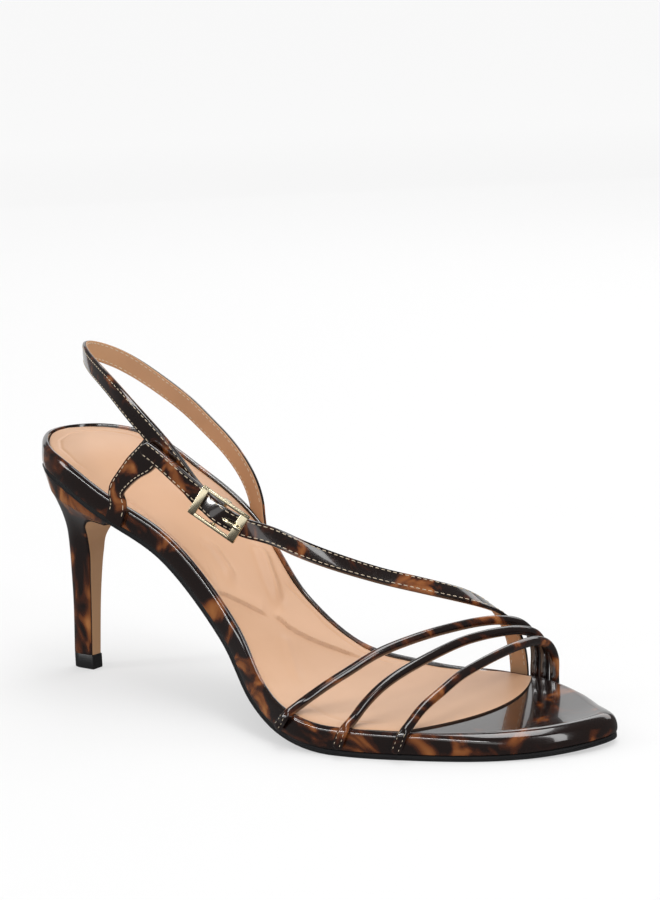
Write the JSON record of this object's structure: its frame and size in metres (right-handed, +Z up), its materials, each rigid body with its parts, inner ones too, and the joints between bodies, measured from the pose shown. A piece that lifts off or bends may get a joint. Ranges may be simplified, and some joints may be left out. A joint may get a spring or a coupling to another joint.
{
  "type": "heeled sandal",
  "caption": "Slim-heeled sling-back sandal with round toe straps, a slanted instep strap and a buckle at the outer side.",
  "frame": {"origin": "on the floor under the middle of the shoe's bounding box", "axes": "+X points from the heel to the toe, +Y to the inner side of the foot, +Z up from the floor"},
  "size_m": [0.2284, 0.0906, 0.1167],
  "materials": {
    "black_sole": "satin",
    "tortoise_patent": "glossy patent",
    "nude_sock": "matte",
    "tan_cover": "matte",
    "pale_gold": "polished"
  },
  "bodies": {
    "root": {"outsole": "black_sole", "platform": "tortoise_patent", "insole": "nude_sock", "heel": "tortoise_patent", "heel_breast": "tan_cover", "heel_cap": "black_sole", "instep_strap": "tortoise_patent", "heel_sling": "tortoise_patent", "buckle_frame": "pale_gold", "buckle_prong": "pale_gold", "toe_strap_rear": "tortoise_patent", "toe_strap_middle": "tortoise_patent", "toe_strap_front": "tortoise_patent"}
  },
  "joints": []
}
